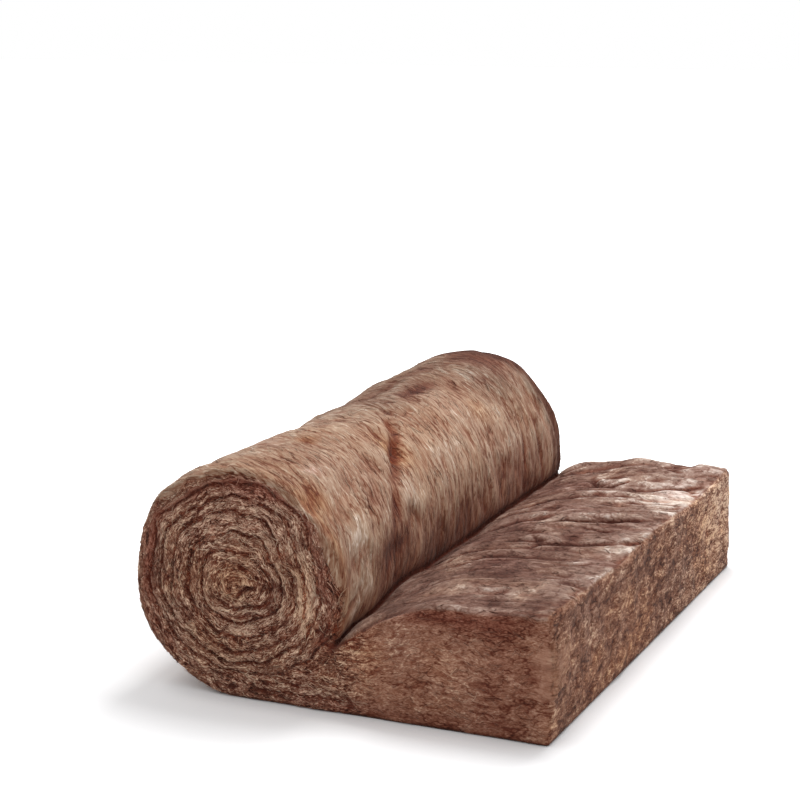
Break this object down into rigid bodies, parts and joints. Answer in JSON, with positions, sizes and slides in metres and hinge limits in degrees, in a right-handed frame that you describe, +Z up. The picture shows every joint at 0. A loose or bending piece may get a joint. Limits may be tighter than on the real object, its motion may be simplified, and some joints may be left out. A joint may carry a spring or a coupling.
{
  "type": "insulation roll",
  "caption": "Part-unrolled mineral wool blanket: a spiral-wound roll lying on its side with its thick loose end laid out flat, for filling lofts, walls and floors.",
  "frame": {"origin": "middle of the footprint's bounding box, on the floor that the blanket lies on", "axes": "+X is the way the laid end runs out from under the roll, +Y is across the blanket, which is along the roll but for its small skew, from the near end to the far end, +Z is up"},
  "size_m": [0.8506, 1.2, 0.4497],
  "materials": {
    "mineral_wool": "matt brown mineral wool, fibrous, paler on the rolled faces and darker on the cut sides"
  },
  "bodies": {
    "root": {"wool_blanket": "mineral_wool"}
  },
  "joints": []
}
